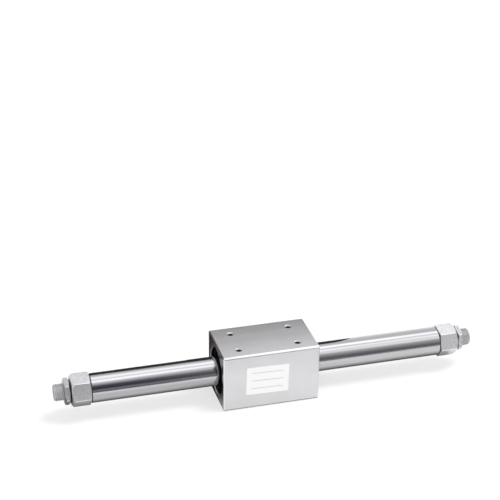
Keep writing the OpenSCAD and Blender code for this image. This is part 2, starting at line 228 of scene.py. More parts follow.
CLOUDS_PER_METRE = 60.0
THREAD_ANGLE = math.radians(30)
THREAD_STEPS = 48
STUD_RADIUS = 5 * MM
STUD_PITCH = 1 * MM
STUD_THREAD_DEPTH = 0.613 * STUD_PITCH
STUD_LENGTH = 9.5 * MM
STUD_CHAMFER = 0.7 * MM
RELIEF_LENGTH = 1.2 * MM
RELIEF_DEPTH = 0.7 * MM
RELIEF_RADIUS = STUD_RADIUS - RELIEF_DEPTH
CENTRE_RADIUS = 1.5 * MM
CENTRE_ANGLE = math.radians(30)
HEXAGON = 17 * MM
EDGE_BEVEL = 0.4 * MM
CORNER_SLACK = 0.15 * MM
COLLAR_LENGTH = 0.5 * MM
COLLAR_RADIUS = 8.1 * MM
PORT_TURN = math.radians(42)
PORT_FROM_END = 5.5 * MM
PORT_DEPTH = 5 * MM
PORT_THREAD = 0.8 * MM
PORT_MINOR = 2.1 * MM
PORT_MAJOR = 2.48 * MM
PORT_CHAMFER = 0.4 * MM
NUT_SHADE_RADIUS = 6.4 * MM
NUT_SHADE_EDGE = 0.8 * MM
SIDES = {"left": -1, "right": 1}
# Points are one within HAIR, a face or point lies at a place within NEAR, and edges are long from LONG up
HAIR = 0.001 * MM
NEAR = 0.05 * MM
LONG = 1 * MM
SAME_PLANE = math.radians(0.2)
SHARP = math.radians(30)

tube_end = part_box("cylinder_tube")[1].x
hex_inner_face = tube_end + COLLAR_LENGTH
stud_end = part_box("right_cover")[1].x
hex_end = stud_end - STUD_LENGTH
stud_cut = hex_end + RELIEF_LENGTH / 2


def build_handling():
    """Soft clouds where a surface has been touched and wiped, and a fine even grain."""
    group, given, wanted = effect("handling", {"Place": "Vector", "Grain": "Float"}, ["Clouds", "Grain"])
    clouds = noise(group, given["Place"], CLOUDS_PER_METRE, detail=4.0, roughness=0.55)
    fineness = calculate(group, "DIVIDE", 1.0, given["Grain"])
    grain = noise(group, given["Place"], fineness, detail=2.0)
    group.links.new(clouds, wanted["Clouds"])
    group.links.new(grain, wanted["Grain"])
    return group


handling = build_handling()


def marks_on(tree, place, grain):
    """The clouds and the grain of handling, with the grain's width."""
    return node(tree, "Group", {"Place": place, "Grain": grain}, node_tree=handling).outputs


def nickel_plating(name, light, dark, ring, grain, dent, ring_depth, grain_depth):
    """Satin nickel over a turned and tumbled surface: rings, small dents and grain, each with its width."""
    material, tree, place = new_finish(name, metallic=0.85)
    rings = rings_on(tree, place, ring)
    fine = marks_on(tree, place, grain)["Grain"]
    dents = marks_on(tree, place, dent)["Grain"]
    paint(tree, dents, light, dark)
    gloss(tree, fine, smooth=0.34, rough=0.48)
    relief(tree, (rings, ring_depth), (dents, 0.03 * MM), (fine, grain_depth))
    return material


def grained_finish(name, metallic, light, dark, smooth, rough, grain, depth):
    """Clouds of tone under an even grain, which has its width and its depth."""
    material, tree, place = new_finish(name, metallic)
    marks = marks_on(tree, place, grain)
    paint(tree, marks["Clouds"], light, dark)
    gloss(tree, marks["Grain"], smooth, rough)
    relief(tree, (marks["Grain"], depth))
    return material


def polished_edge(name, light, dark):
    """Edges that a cutter, or wear and handling, have polished."""
    return grained_finish(name, 1.0, light, dark, smooth=0.24, rough=0.40, grain=0.4 * MM, depth=0.003 * MM)


def cut_thread():
    """The stud's thread is cut after plating and is duller than the flats."""
    material, tree, place = new_finish("cut_thread", metallic=0.6)
    rings = rings_on(tree, place, 0.15 * MM)
    marks = marks_on(tree, place, 0.25 * MM)
    paint(tree, marks["Clouds"], light=(0.60, 0.60, 0.61), dark=(0.50, 0.50, 0.51))
    gloss(tree, marks["Grain"], smooth=0.48, rough=0.64)
    relief(tree, (rings, 0.004 * MM), (marks["Grain"], 0.008 * MM))
    return material


def nut_seat():
    """A cover's outer face is plated, with a ring of painted shade where the nut stands close to it."""
    material, tree, place = new_finish("nut_seat", metallic=0.85)
    across = node(tree, "Mapping", {"Vector": place, "Scale": (0, 1, 1)}).outputs[0]
    radius = node(tree, "VectorMath", {0: across}, operation="LENGTH").outputs["Value"]
    # Painted shade: near black inside the nut's reach, fading out across its edge
    nut_shade = carry_over(tree, radius, (NUT_SHADE_RADIUS, NUT_SHADE_RADIUS + NUT_SHADE_EDGE), (1.0, 0.0))
    marks = marks_on(tree, place, 0.3 * MM)
    paint(tree, nut_shade, light=(0.68, 0.68, 0.69), dark=(0.12, 0.12, 0.125))
    gloss(tree, marks["Grain"], smooth=0.34, rough=0.5)
    relief(tree, (marks["Grain"], 0.006 * MM))
    return material


def merged_copy(node_name):
    """A copy of a CAD node's mesh with its loose triangles merged into one skin of flat faces."""
    mesh = bmesh.new()
    mesh.from_mesh(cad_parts[node_name].data)
    bmesh.ops.remove_doubles(mesh, verts=mesh.verts, dist=HAIR / 2)
    bmesh.ops.dissolve_limit(mesh, angle_limit=SAME_PLANE, verts=mesh.verts, edges=mesh.edges)
    return mesh


def only(kind, parts):
    """The vertices or the edges among the parts that an operator gives back."""
    return [part for part in parts if isinstance(part, kind)]


def cut_off(mesh, x, outwards):
    """Cuts off what lies beyond the plane at x, and gives back the edges of the cut."""
    cut = bmesh.ops.bisect_plane(mesh, geom=mesh.verts[:] + mesh.edges[:] + mesh.faces[:], dist=HAIR / 10,
                                 plane_co=(x, 0, 0), plane_no=(outwards, 0, 0), clear_outer=True)
    return only(bmesh.types.BMEdge, cut["geom_cut"])


def from_axis(point):
    """A point's distance from the tube's axis."""
    return math.hypot(point.y, point.z)


def set_radius(vert, radius):
    """Moves a vertex to a distance from the axis."""
    scale = radius / from_axis(vert.co)
    vert.co = (vert.co.x, vert.co.y * scale, vert.co.z * scale)


def thread_profile(pitch, root, crest):
    """One pitch of a 60 degree thread, from root to root, as points of (distance along, radius)."""
    flank = (crest - root) * math.tan(THREAD_ANGLE)
    flat = (pitch - 2 * flank) / 3
    return [(0, root), (flat, root), (flat + flank, crest), (2 * flat + flank, crest),
            (2 * flat + 2 * flank, root), (pitch, root)]


def threaded_skin(from_x, to_x, pitch, root, crest):
    """The skin of a right-hand thread about the X axis, cut square at both ends."""
    mesh = bmesh.new()
    turns = math.ceil((to_x - from_x) / pitch) + 2
    start = from_x - pitch
    profile = thread_profile(pitch, root, crest)
    corners = [mesh.verts.new((start + along, 0, radius)) for along, radius in profile]
    chain = [mesh.edges.new(pair) for pair in zip(corners, corners[1:])]
    bmesh.ops.spin(mesh, geom=corners + chain, cent=(0, 0, 0), axis=(1, 0, 0),
                   dvec=(pitch / THREAD_STEPS, 0, 0), angle=turns * math.tau, steps=turns * THREAD_STEPS)
    bmesh.ops.remove_doubles(mesh, verts=mesh.verts, dist=HAIR)
    cut_off(mesh, from_x, outwards=-1)
    cut_off(mesh, to_x, outwards=1)
    return mesh


def rim(mesh, x):
    """The open edges of a skin that lie in the plane at x."""
    return [e for e in mesh.edges if e.is_boundary and all(abs(v.co.x - x) < HAIR for v in e.verts)]


def run_rim(mesh, edges, to_x, radius):
    """Carries an open round rim on to another place and radius, and returns its new edges."""
    made = bmesh.ops.extrude_edge_only(mesh, edges=edges)["geom"]
    for vert in only(bmesh.types.BMVert, made):
        set_radius(vert, radius)
        vert.co.x = to_x
    return [edge for edge in only(bmesh.types.BMEdge, made) if edge.is_boundary]


def close_rim(mesh, edges, apex_x):
    """Closes an open round rim with a cone or a flat, whose middle lies at apex_x."""
    made = run_rim(mesh, edges, apex_x, 10 * HAIR)
    bmesh.ops.pointmerge(mesh, verts=list({v for e in made for v in e.verts}), merge_co=(apex_x, 0, 0))


def threaded_stud():
    """The right stud: thread, chamfer, run-out into the relief, and centre drilling."""
    thread_start = hex_end + RELIEF_LENGTH
    mesh = threaded_skin(thread_start, stud_end, STUD_PITCH, STUD_RADIUS - STUD_THREAD_DEPTH, STUD_RADIUS)
    for vert in mesh.verts:
        run_out = RELIEF_RADIUS + vert.co.x - thread_start
        chamfer = STUD_RADIUS - STUD_CHAMFER + stud_end - vert.co.x
        set_radius(vert, min(from_axis(vert.co), run_out, chamfer))
    root = run_rim(mesh, rim(mesh, thread_start), stud_cut, RELIEF_RADIUS)
    close_rim(mesh, root, stud_cut)
    mouth = run_rim(mesh, rim(mesh, stud_end), stud_end, CENTRE_RADIUS)
    close_rim(mesh, mouth, stud_end - CENTRE_RADIUS / math.tan(CENTRE_ANGLE))
    bmesh.ops.recalc_face_normals(mesh, faces=mesh.faces)
    return mesh


def to_side(mesh, side):
    """Turns what is modelled at the right end to the left end, which keeps a thread's hand."""
    if side == "left":
        bmesh.ops.rotate(mesh, verts=mesh.verts, cent=(0, 0, 0), matrix=Matrix.Rotation(math.pi, 3, "Z"))


def join(mesh, other):
    """Adds another mesh to this one."""
    passing = bpy.data.meshes.new("passing")
    other.to_mesh(passing)
    other.free()
    mesh.from_mesh(passing)
    bpy.data.meshes.remove(passing)


def runs_along(edge):
    """How far an edge runs along the tube's axis."""
    return abs(edge.verts[0].co.x - edge.verts[1].co.x)


def round_edges(mesh, edges, width, slot):
    """Rounds edges and gives the rounding its own finish."""
    rounded = bmesh.ops.bevel(mesh, geom=edges, offset=width, affect="EDGES", segments=3, profile=0.5,
                              material=-1)
    for face in rounded["faces"]:
        face.material_index = slot


def soften_long_edges(mesh, flat_to_flat, from_x, to_x):
    """Rounds the six long edges of a hexagon that lies along X, where wear polishes them."""
    least_radius = flat_to_flat / math.sqrt(3) - CORNER_SLACK
    long_edges = [
        e for e in mesh.edges
        if all(from_x < abs(v.co.x) < to_x and from_axis(v.co) > least_radius for v in e.verts)
        and runs_along(e) > LONG
    ]
    round_edges(mesh, long_edges, EDGE_BEVEL, WORN_EDGE)


def tapped_lining(depth, pitch, minor, major, mouth_radius):
    """A thin sleeve along X, open at x = 0, with a thread inside and a chamfered mouth."""
    mesh = threaded_skin(-depth, 0, pitch, minor, major)
    for vert in mesh.verts:
        set_radius(vert, max(from_axis(vert.co), mouth_radius + vert.co.x))
    inner = run_rim(mesh, rim(mesh, -depth), -depth, mouth_radius)
    run_rim(mesh, inner, 0, mouth_radius)
    bmesh.ops.remove_doubles(mesh, verts=mesh.verts, dist=HAIR)
    bmesh.ops.recalc_face_normals(mesh, faces=mesh.faces)
    return mesh


def tap(mesh, mouth, outwards, depth, pitch, minor, major, chamfer, chamfer_slot, thread_slot):
    """Cuts a thread in a plain tapping hole: its wall moves out to its chamfer, and a lining goes in."""
    mouth_radius = minor + chamfer
    for vert in mesh.verts:
        along = (vert.co - mouth).dot(outwards)
        out = vert.co - mouth - along * outwards
        if abs(out.length - minor) < NEAR and -depth - NEAR < along < NEAR:
            vert.co += out * (mouth_radius / out.length - 1)
    lining = tapped_lining(depth, pitch, minor, major, mouth_radius)
    for face in lining.faces:
        below_chamfer = face.calc_center_median().x < -chamfer
        face.material_index = thread_slot if below_chamfer else chamfer_slot
    turn = Vector((1, 0, 0)).rotation_difference(outwards).to_matrix().to_4x4()
    bmesh.ops.transform(lining, verts=lining.verts, matrix=Matrix.Translation(mouth) @ turn)
    join(mesh, lining)


def new_object(name, mesh, finishes):
    """Makes a smooth object of a mesh, in its place in the scene, with its finishes."""
    data = bpy.data.meshes.new(name)
    mesh.to_mesh(data)
    mesh.free()
    data.shade_smooth()
    for finish in finishes:
        data.materials.append(finish)
    made = bpy.data.objects.new(name, data)
    bpy.context.scene.collection.objects.link(made)
    return made


def new_piece(name, mesh, finishes, body):
    """Makes a piece of a mesh, keeps its edges crisp and its faces flat, and lets it ride on its body."""
    piece = new_object(name, mesh, finishes)
    piece.data.set_sharp_from_angle(angle=SHARP)
    flat_faces = piece.modifiers.new("flat_faces", "WEIGHTED_NORMAL")
    flat_faces.keep_sharp = True
    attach(piece, body)
    return piece


# The covers' finishes, in the order in which they are listed below the plating
WORN_EDGE, CUT_THREAD, RECESS_SHADE, COLLAR_SHADE, NUT_SEAT = 1, 2, 3, 4, 5
satin_nickel = nickel_plating(
    "satin_nickel", light=(0.82, 0.82, 0.83), dark=(0.66, 0.66, 0.675),
    ring=0.3 * MM, grain=0.5 * MM, dent=1.2 * MM, ring_depth=0.004 * MM, grain_depth=0.006 * MM)
worn_edge = polished_edge("worn_edge", light=(0.94, 0.94, 0.94), dark=(0.86, 0.86, 0.87))
# Painted shade: tapped holes, run-out grooves and the slider's bore are near black for the shade deep inside
# them
painted_recess_shade = grained_finish(
    "painted_recess_shade", metallic=0.8, light=(0.10, 0.10, 0.105), dark=(0.05, 0.05, 0.055),
    smooth=0.35, rough=0.5, grain=0.3 * MM, depth=0.008 * MM)
# The collar in the groove between the cover and the tube's end is near black: painted shade in the joint
painted_collar_shade = grained_finish(
    "painted_collar_shade", metallic=0.0, light=(0.045, 0.045, 0.055), dark=(0.022, 0.022, 0.028),
    smooth=0.5, rough=0.7, grain=0.2 * MM, depth=0.01 * MM)
cover_finishes = [satin_nickel, worn_edge, cut_thread(), painted_recess_shade, painted_collar_shade, nut_seat()]
port_out = Vector((0, math.cos(PORT_TURN), math.sin(PORT_TURN)))
for side, outwards in SIDES.items():
    cover = merged_copy(side + "_cover")
    bmesh.ops.contextual_create(cover, geom=cut_off(cover, outwards * stud_cut, outwards))
    soften_long_edges(cover, HEXAGON, tube_end, hex_end)
    for face in cover.faces:
        middle = face.calc_center_median()
        along = abs(middle.x)
        # Painted shade on the collar in the groove at the tube's end
        if tube_end - NEAR < along < hex_inner_face + NEAR and from_axis(middle) < COLLAR_RADIUS:
            face.material_index = COLLAR_SHADE
        elif abs(along - hex_end) < NEAR:
            face.material_index = NUT_SEAT
        # Painted shade in the run-out groove behind the nut
        elif along > hex_end and from_axis(middle) < RELIEF_RADIUS:
            face.material_index = RECESS_SHADE
    port_mouth = HEXAGON / 2 * port_out + Vector((outwards * (hex_end - PORT_FROM_END), 0, 0))
    tap(cover, port_mouth, port_out, PORT_DEPTH, PORT_THREAD, PORT_MINOR, PORT_MAJOR, PORT_CHAMFER,
        WORN_EDGE, RECESS_SHADE)
    stud = threaded_stud()
    for face in stud.faces:
        # Painted shade in the stud's run-out groove, plain cut thread beyond
        in_groove = face.calc_center_median().x < hex_end + RELIEF_LENGTH
        face.material_index = RECESS_SHADE if in_groove else CUT_THREAD
    to_side(stud, side)
    join(cover, stud)
    piece = new_piece(side + "_cover_dressed", cover, cover_finishes, "cylinder")
    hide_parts(side + "_cover")

# --- Mounting nuts ---------------------------------------------------------
# Thin hexagonal nuts of nickel-plated steel, one on each stud. They hold the
# cylinder in its brackets.

NUT_HEXAGON = 14 * MM

nut_plate = nickel_plating(
    "nut_plate", light=(0.68, 0.68, 0.69), dark=(0.44, 0.44, 0.45),
    ring=0.2 * MM, grain=0.3 * MM, dent=0.9 * MM, ring_depth=0.003 * MM, grain_depth=0.004 * MM)
for side in SIDES:
    nut = merged_copy(side + "_mounting_nut")
    inner_face, outer_face = sorted(abs(corner.x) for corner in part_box(side + "_mounting_nut"))
    soften_long_edges(nut, NUT_HEXAGON, inner_face, outer_face)
    piece = new_piece(side + "_nut_dressed", nut, [nut_plate, worn_edge], side + "_nut")
    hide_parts(side + "_mounting_nut")

# --- Gaskets and cushion rings ---------------------------------------------
# An O-ring of black nitrile rubber seals each spigot in the tube. A ring of
# cast urethane on its face takes the piston's knock at the end of the travel.


def soft_finish(name, light, dark, smooth, rough, grain):
    """Rubber and resin: a dull skin whose grain is a twelfth as deep as it is wide."""
    return grained_finish(name, 0.0, light, dark, smooth, rough, grain, depth=grain / 12)


nitrile = soft_finish(
    "nitrile_rubber", light=(0.028, 0.028, 0.030), dark=(0.016, 0.016, 0.018),
    smooth=0.45, rough=0.62, grain=0.25 * MM)
urethane = soft_finish(
    "cast_urethane", light=(0.76, 0.66, 0.43), dark=(0.68, 0.56, 0.33),
    smooth=0.32, rough=0.42, grain=0.40 * MM)
finish_nodes(["left_gasket", "right_gasket"], nitrile)
finish_nodes(["left_bumper", "right_bumper"], urethane)

# --- Piston magnets --------------------------------------------------------
# Ring magnets and steel yokes are threaded in turn on a steel shaft. The
# magnets are sintered and nickel plated, and the shaft and yokes are turned.


def turned_metal(name, light, dark, smooth, rough, ring, depth):
    """Turned or plated metal, with the tool's rings round the axis, which have a width and a depth."""
    material, tree, place = new_finish(name, metallic=1.0)
    rings = rings_on(tree, place, ring)
    marks = marks_on(tree, place, 0.3 * MM)
    paint(tree, marks["Clouds"], light, dark)
    gloss(tree, rings, smooth, rough)
    relief(tree, (rings, depth), (marks["Grain"], 0.002 * MM))
    return material


turned_steel = turned_metal(
    "turned_steel", light=(0.60, 0.60, 0.61), dark=(0.50, 0.50, 0.51),
    smooth=0.18, rough=0.34, ring=0.20 * MM, depth=0.004 * MM)
yoke_steel = turned_metal(
    "yoke_steel", light=(0.55, 0.56, 0.58), dark=(0.44, 0.45, 0.48),
    smooth=0.24, rough=0.40, ring=0.25 * MM, depth=0.004 * MM)
magnet_plate = turned_metal(
    "magnet_plate", light=(0.42, 0.42, 0.43), dark=(0.33, 0.33, 0.35),
    smooth=0.14, rough=0.26, ring=0.60 * MM, depth=0.001 * MM)
finish_nodes(["piston_shaft"], turned_steel)
finish_nodes([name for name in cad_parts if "_yoke_" in name], yoke_steel)
finish_nodes([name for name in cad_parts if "_magnet_" in name], magnet_plate)

# --- Piston ends -----------------------------------------------------------
# Brass ends close the stack on both sides, held by steel nuts. Each carries a
# split guide band of brown resin and a lip seal of black rubber.

brass = turned_metal(
    "turned_brass", light=(0.80, 0.64, 0.33), dark=(0.68, 0.50, 0.24),
    smooth=0.16, rough=0.30, ring=0.20 * MM, depth=0.004 * MM)
band_resin = soft_finish(
    "band_resin", light=(0.26, 0.14, 0.085), dark=(0.17, 0.090, 0.055),
    smooth=0.40, rough=0.55, grain=0.20 * MM)
for side in SIDES:
    finish_nodes([side + "_piston"], brass)
    finish_nodes([side + "_piston_wear_ring"], band_resin)
    finish_nodes([side + "_piston_seal"], nitrile)
    finish_nodes([side + "_piston_nut"], nut_plate)

# --- Slider block ----------------------------------------------------------
# Machined from extruded aluminium bar and clear anodised to a satin. Four
# 4 mm holes are tapped in its top for the load that it carries.

HOLE_PITCH_X = 35 * MM
HOLE_PITCH_Y = 19 * MM
HOLE_DEPTH = 6 * MM
HOLE_MINOR = 1.65 * MM
HOLE_MAJOR = 2.0 * MM
HOLE_CHAMFER = 0.7 * MM
HOLE_THREAD = 0.7 * MM
END_EDGE = 0.6 * MM
CREST_ROUND = 0.3 * MM
MOUTH_RADIUS = 14.7 * MM


def clear_anodised():
    """Anodising keeps the bar's faint streaks and gives it an even satin grain."""
    material, tree, place = new_finish("clear_anodised", metallic=0.75)
    streaks = streaks_on(tree, place, 1.2 * MM)
    marks = marks_on(tree, place, 0.35 * MM)
    paint(tree, marks["Clouds"], light=(0.745, 0.74, 0.755), dark=(0.695, 0.69, 0.705))
    gloss(tree, streaks, smooth=0.28, rough=0.38)
    relief(tree, (streaks, 0.003 * MM), (marks["Grain"], 0.006 * MM))
    return material


def shaded_end_face():
    """The block's two ends are milled after the bar is cut and are smoother than its sides; their darker
    colour is a painted dark reflection.
    """
    material, tree, place = new_finish("shaded_end_face", metallic=0.9)
    marks = marks_on(tree, place, 0.35 * MM)
    rings = rings_on(tree, place, 0.4 * MM)
    # Painted dark reflection: the ends are darker than the sides
    paint(tree, marks["Clouds"], light=(0.36, 0.35, 0.38), dark=(0.29, 0.28, 0.31))
    gloss(tree, rings, smooth=0.20, rough=0.30)
    relief(tree, (rings, 0.002 * MM), (marks["Grain"], 0.003 * MM))
    return material


def slopes(face):
    """Whether a face belongs to one of the chamfers along the block's long edges."""
    return abs(face.normal.x) < 0.01 and abs(abs(face.normal.y) - abs(face.normal.z)) < 0.01


SHADED_END_FACE, CHAMFER, BLOCK_RECESS_SHADE = 1, 2, 3
milled_edge = polished_edge("milled_edge", light=(0.96, 0.96, 0.96), dark=(0.88, 0.88, 0.89))
block_finishes = [clear_anodised(), shaded_end_face(), milled_edge, painted_recess_shade]
slider_low, slider_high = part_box("slider_body")
slider_middle = (slider_low + slider_high) / 2
block = merged_copy("slider_body")
for face in block.faces:
    middle = face.calc_center_median()
    from_end = slider_high.x - abs(middle.x - slider_middle.x) - slider_middle.x
    on_end_edge = from_end < END_EDGE and from_axis(middle) > slider_high.z - END_EDGE
    # The ends get their smoother finish with its painted dark reflection
    if abs(face.normal.x) > 0.99:
        face.material_index = SHADED_END_FACE
    elif on_end_edge or slopes(face):
        face.material_index = CHAMFER
    # Painted shade on the walls of the slider's bore
    elif from_axis(middle) < MOUTH_RADIUS and abs(face.normal.x) < 0.5:
        face.material_index = BLOCK_RECESS_SHADE
crests = [
    e for e in block.edges
    if len(e.link_faces) == 2 and sum(slopes(face) for face in e.link_faces) == 1
    and runs_along(e) > LONG
]
round_edges(block, crests, CREST_ROUND, CHAMFER)
# Each tapped thread gets painted shade below its chamfer
for sx in (-1, 1):
    for sy in (-1, 1):
        mouth = Vector((slider_middle.x + sx * HOLE_PITCH_X / 2, sy * HOLE_PITCH_Y / 2, slider_high.z))
        tap(block, mouth, Vector((0, 0, 1)), HOLE_DEPTH, HOLE_THREAD, HOLE_MINOR, HOLE_MAJOR, HOLE_CHAMFER,
            CHAMFER, BLOCK_RECESS_SHADE)
piece = new_piece("slider_body_dressed", block, block_finishes, "slider")
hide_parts("slider_body")

# --- Slider rings ----------------------------------------------------------
# Beyond the slider's own magnets and yokes lie a guide ring of dark resin, a
# felt ring that holds grease, and a steel spacer, at both ends.


def greased_felt():
    """Matted fibres, dark with grease, that catch the light at their tips."""
    material, tree, place = new_finish("greased_felt", metallic=0.0)
    marks = marks_on(tree, place, 0.12 * MM)
    paint(tree, marks["Grain"], light=(0.44, 0.39, 0.28), dark=(0.28, 0.24, 0.16))
    gloss(tree, marks["Clouds"], smooth=0.55, rough=0.9)
    relief(tree, (marks["Grain"], 0.05 * MM))
    tree.nodes["Principled BSDF"].inputs["Sheen Weight"].default_value = 0.3
    return material


felt = greased_felt()
guide_resin = soft_finish(
    "guide_resin", light=(0.11, 0.10, 0.09), dark=(0.065, 0.06, 0.055),
    smooth=0.40, rough=0.55, grain=0.20 * MM)
for side in SIDES:
    finish_nodes([side + "_wear_ring"], guide_resin)
    finish_nodes([side + "_grease_retainer"], felt)
    finish_nodes([side + "_spacer"], turned_steel)

# --- Scrapers and retaining rings ------------------------------------------
# A black rubber wiper in each mouth keeps dirt off the tube. A sprung ring of
# phosphated steel, with two eyes for pliers, holds it in.

phosphated_steel = grained_finish(
    "phosphated_steel", metallic=0.4, light=(0.026, 0.026, 0.034), dark=(0.014, 0.014, 0.020),
    smooth=0.42, rough=0.58, grain=0.15 * MM, depth=0.008 * MM)
for side in SIDES:
    finish_nodes([side + "_scraper"], nitrile)
    finish_nodes([side + "_retaining_ring"], phosphated_steel)

# --- Label -----------------------------------------------------------------
# A white film label stuck on the slider's front. It is blank, with three
# faint rules to write on.

LABEL_WIDTH = 25.2 * MM
LABEL_HEIGHT = 17.6 * MM
LABEL_THICKNESS = 0.08 * MM
LABEL_CORNER = 0.8 * MM
LABEL_TILT = math.radians(1.5)
LABEL_FROM_MIDDLE = Vector((-2.5 * MM, 0, 0.3 * MM))
LABEL_WHITE = (0.93, 0.93, 0.93, 1.0)
RULE_SPACING = 5 * MM
RULE_WIDTH = 0.25 * MM
RULE_LENGTH = 19 * MM
RULE_GREY = (0.38, 0.38, 0.40, 1.0)


def label_film(middle):
    """White film with thin grey rules, evenly spaced from its middle and square to its edges."""
    material, tree, place = new_finish("label_film", metallic=0.0)
    flat = node(tree, "Mapping", {"Vector": place, "Location": middle, "Rotation": (0, LABEL_TILT, 0)},
                vector_type="TEXTURE").outputs[0]
    axes = node(tree, "SeparateXYZ", {0: flat}).outputs
    row = calculate(tree, "PINGPONG", axes["Z"], RULE_SPACING / 2)
    across = calculate(tree, "ABSOLUTE", axes["X"])
    in_row = calculate(tree, "LESS_THAN", row, RULE_WIDTH / 2)
    in_length = calculate(tree, "LESS_THAN", across, RULE_LENGTH / 2)
    on_rule = calculate(tree, "MULTIPLY", in_row, in_length)
    feed(tree, "Base Color", mix_colours(tree, on_rule, LABEL_WHITE, RULE_GREY))
    marks = marks_on(tree, place, 0.2 * MM)
    gloss(tree, marks["Clouds"], smooth=0.30, rough=0.40)
    relief(tree, (marks["Grain"], 0.004 * MM))
    return material


label_middle = slider_middle + LABEL_FROM_MIDDLE
label_middle.y = slider_low.y
label = bmesh.new()
bmesh.ops.create_grid(label, x_segments=1, y_segments=1, size=0.5)
bmesh.ops.scale(label, verts=label.verts, vec=(LABEL_WIDTH, LABEL_HEIGHT, 1))
bmesh.ops.bevel(label, geom=label.verts, offset=LABEL_CORNER, affect="VERTICES", segments=5, profile=0.5,
                material=-1)
raised = bmesh.ops.extrude_face_region(label, geom=label.faces[:])["geom"]
bmesh.ops.translate(label, verts=only(bmesh.types.BMVert, raised), vec=(0, 0, LABEL_THICKNESS))
bmesh.ops.recalc_face_normals(label, faces=label.faces)
upright = Matrix.Rotation(LABEL_TILT, 4, "Y") @ Matrix.Rotation(math.pi / 2, 4, "X")
bmesh.ops.transform(label, verts=label.verts, matrix=Matrix.Translation(label_middle) @ upright)
new_piece("blank_label", label, [label_film(label_middle)], "slider")

# --- Floor -----------------------------------------------------------------
# A pale seamless floor that keeps the object's soft shadow. The eye, metal and
# glass see it as the plain white of the background.

FLOOR_HALF_WIDTH = 20
FLOOR_BELOW = 0.02 * MM
FLOOR_COLOUR = (0.42, 0.42, 0.425, 1.0)
FLOOR_GLOW = 0.60
WHITE = (1.0, 1.0, 1.0, 1.0)


def background_share(tree):
    """One for the rays that should see the plain background: the eye's, and those of metal and glass."""
    path = node(tree, "LightPath").outputs
    seen = calculate(tree, "MAXIMUM", path["Is Camera Ray"], path["Is Glossy Ray"])
    return calculate(tree, "MAXIMUM", seen, path["Is Transmission Ray"])


def set_sockets(tree, values):
    """Sets plain values on the shader's own sockets."""
    for socket, value in values.items():
        tree.nodes["Principled BSDF"].inputs[socket].default_value = value


def floor_paint():
    """Matt grey that glows up to white for the rays that see the background."""
    material, tree = new_material("floor_paint")
    set_sockets(tree, {
        "Base Color": FLOOR_COLOUR, "Roughness": 0.9, "Specular IOR Level": 0.0, "Emission Color": WHITE,
    })
    feed(tree, "Emission Strength", calculate(tree, "MULTIPLY", background_share(tree), FLOOR_GLOW))
    return material


floor_mesh = bmesh.new()
bmesh.ops.create_grid(floor_mesh, x_segments=1, y_segments=1, size=FLOOR_HALF_WIDTH,
                      matrix=Matrix.Translation((0, 0, cad_low.z - FLOOR_BELOW)))
new_object("floor", floor_mesh, [floor_paint()])

# --- Light tent ------------------------------------------------------------
# Polished steel shows whatever stands round it, so a half round of white cloth
# stands over the cylinder. Only reflections see it.

TENT_RADIUS = 2.5
TENT_HALF_LENGTH = 6.0
TENT_HEM = -0.095
TENT_LIFT = 1 * MM
TENT_STEPS = 48
# Brightness of the cloth towards its two ends, by the angle in degrees from the front of the floor up
# over the top: a dark room in front, the light overhead, and a paler wall towards the right
TENT_LEFT = [
    (0, 0.34), (9, 0.26), (15, 0.05), (34, 0.08), (45, 0.35), (54, 0.8), (63, 0.95), (70, 2.0),
    (80, 2.0), (90, 1.15), (100, 2.0), (110, 1.8), (122, 1.0), (135, 0.8), (160, 0.8),
]
TENT_RIGHT = [
    (0, 0.08), (8, 0.18), (22, 0.34), (36, 0.6), (46, 1.0), (54, 1.6), (64, 1.2), (76, 1.8),
    (88, 0.9), (98, 2.0), (108, 2.0), (118, 1.0), (130, 0.9), (150, 0.9), (175, 1.2),
]
# Where along X the cloth turns from one to the other, where it turns grey at the far right, and where
# it grows to its full brightness from half
TENT_TURNS = (0.35, 0.85)
TENT_TURNS_GREY = (1.05, 1.6)
TENT_GREY = (0.5, 0.5, 0.5, 1.0)
TENT_GROWS = (-0.1, 0.25)


def tent_ramp(tree, turn, levels, blue):
    """The cloth's colour round the tent, at half its brightness, with a touch of blue."""
    ramp = node(tree, "ValToRGB", {"Fac": calculate(tree, "DIVIDE", turn, math.pi)})
    steps = ramp.color_ramp.elements
    steps.remove(steps[-1])
    for index, (angle, level) in enumerate(levels):
        step = steps[0] if index == 0 else steps.new(angle / 180)
        step.position = angle / 180
        step.color = (level / 2, level / 2, level / 2 + blue, 1.0)
    return ramp.outputs["Color"]


def tent_cloth():
    """Cloth that glows as brightly as the light behind it."""
    material, tree = new_material("tent_cloth")
    tree.nodes.remove(tree.nodes["Principled BSDF"])
    axes = node(tree, "SeparateXYZ", {0: node(tree, "TexCoord").outputs["Object"]}).outputs
    forwards = calculate(tree, "MULTIPLY", axes["Y"], -1.0)
    turn = calculate(tree, "ARCTAN2", axes["Z"], forwards)
    left = tent_ramp(tree, turn, TENT_LEFT, blue=0.015)
    right = tent_ramp(tree, turn, TENT_RIGHT, blue=0.005)
    covering = mix_colours(tree, carry_over(tree, axes["X"], TENT_TURNS), left, right)
    wall = mix_colours(tree, carry_over(tree, axes["X"], TENT_TURNS_GREY), covering, TENT_GREY)
    strength = carry_over(tree, axes["X"], TENT_GROWS, (1.0, 2.0))
    glow = node(tree, "Emission", {"Color": wall, "Strength": strength})
    tree.links.new(glow.outputs[0], tree.nodes["Material Output"].inputs["Surface"])
    return material


def seen_in_reflections_only(name, mesh, material):
    """Stands a sheet in the studio that no eye sees and that shades nothing: the tent, the black cloth and
    the painted shadows.
    """
    made = new_object(name, mesh, [material])
    made.visible_camera = False
    made.visible_diffuse = False
    made.visible_shadow = False


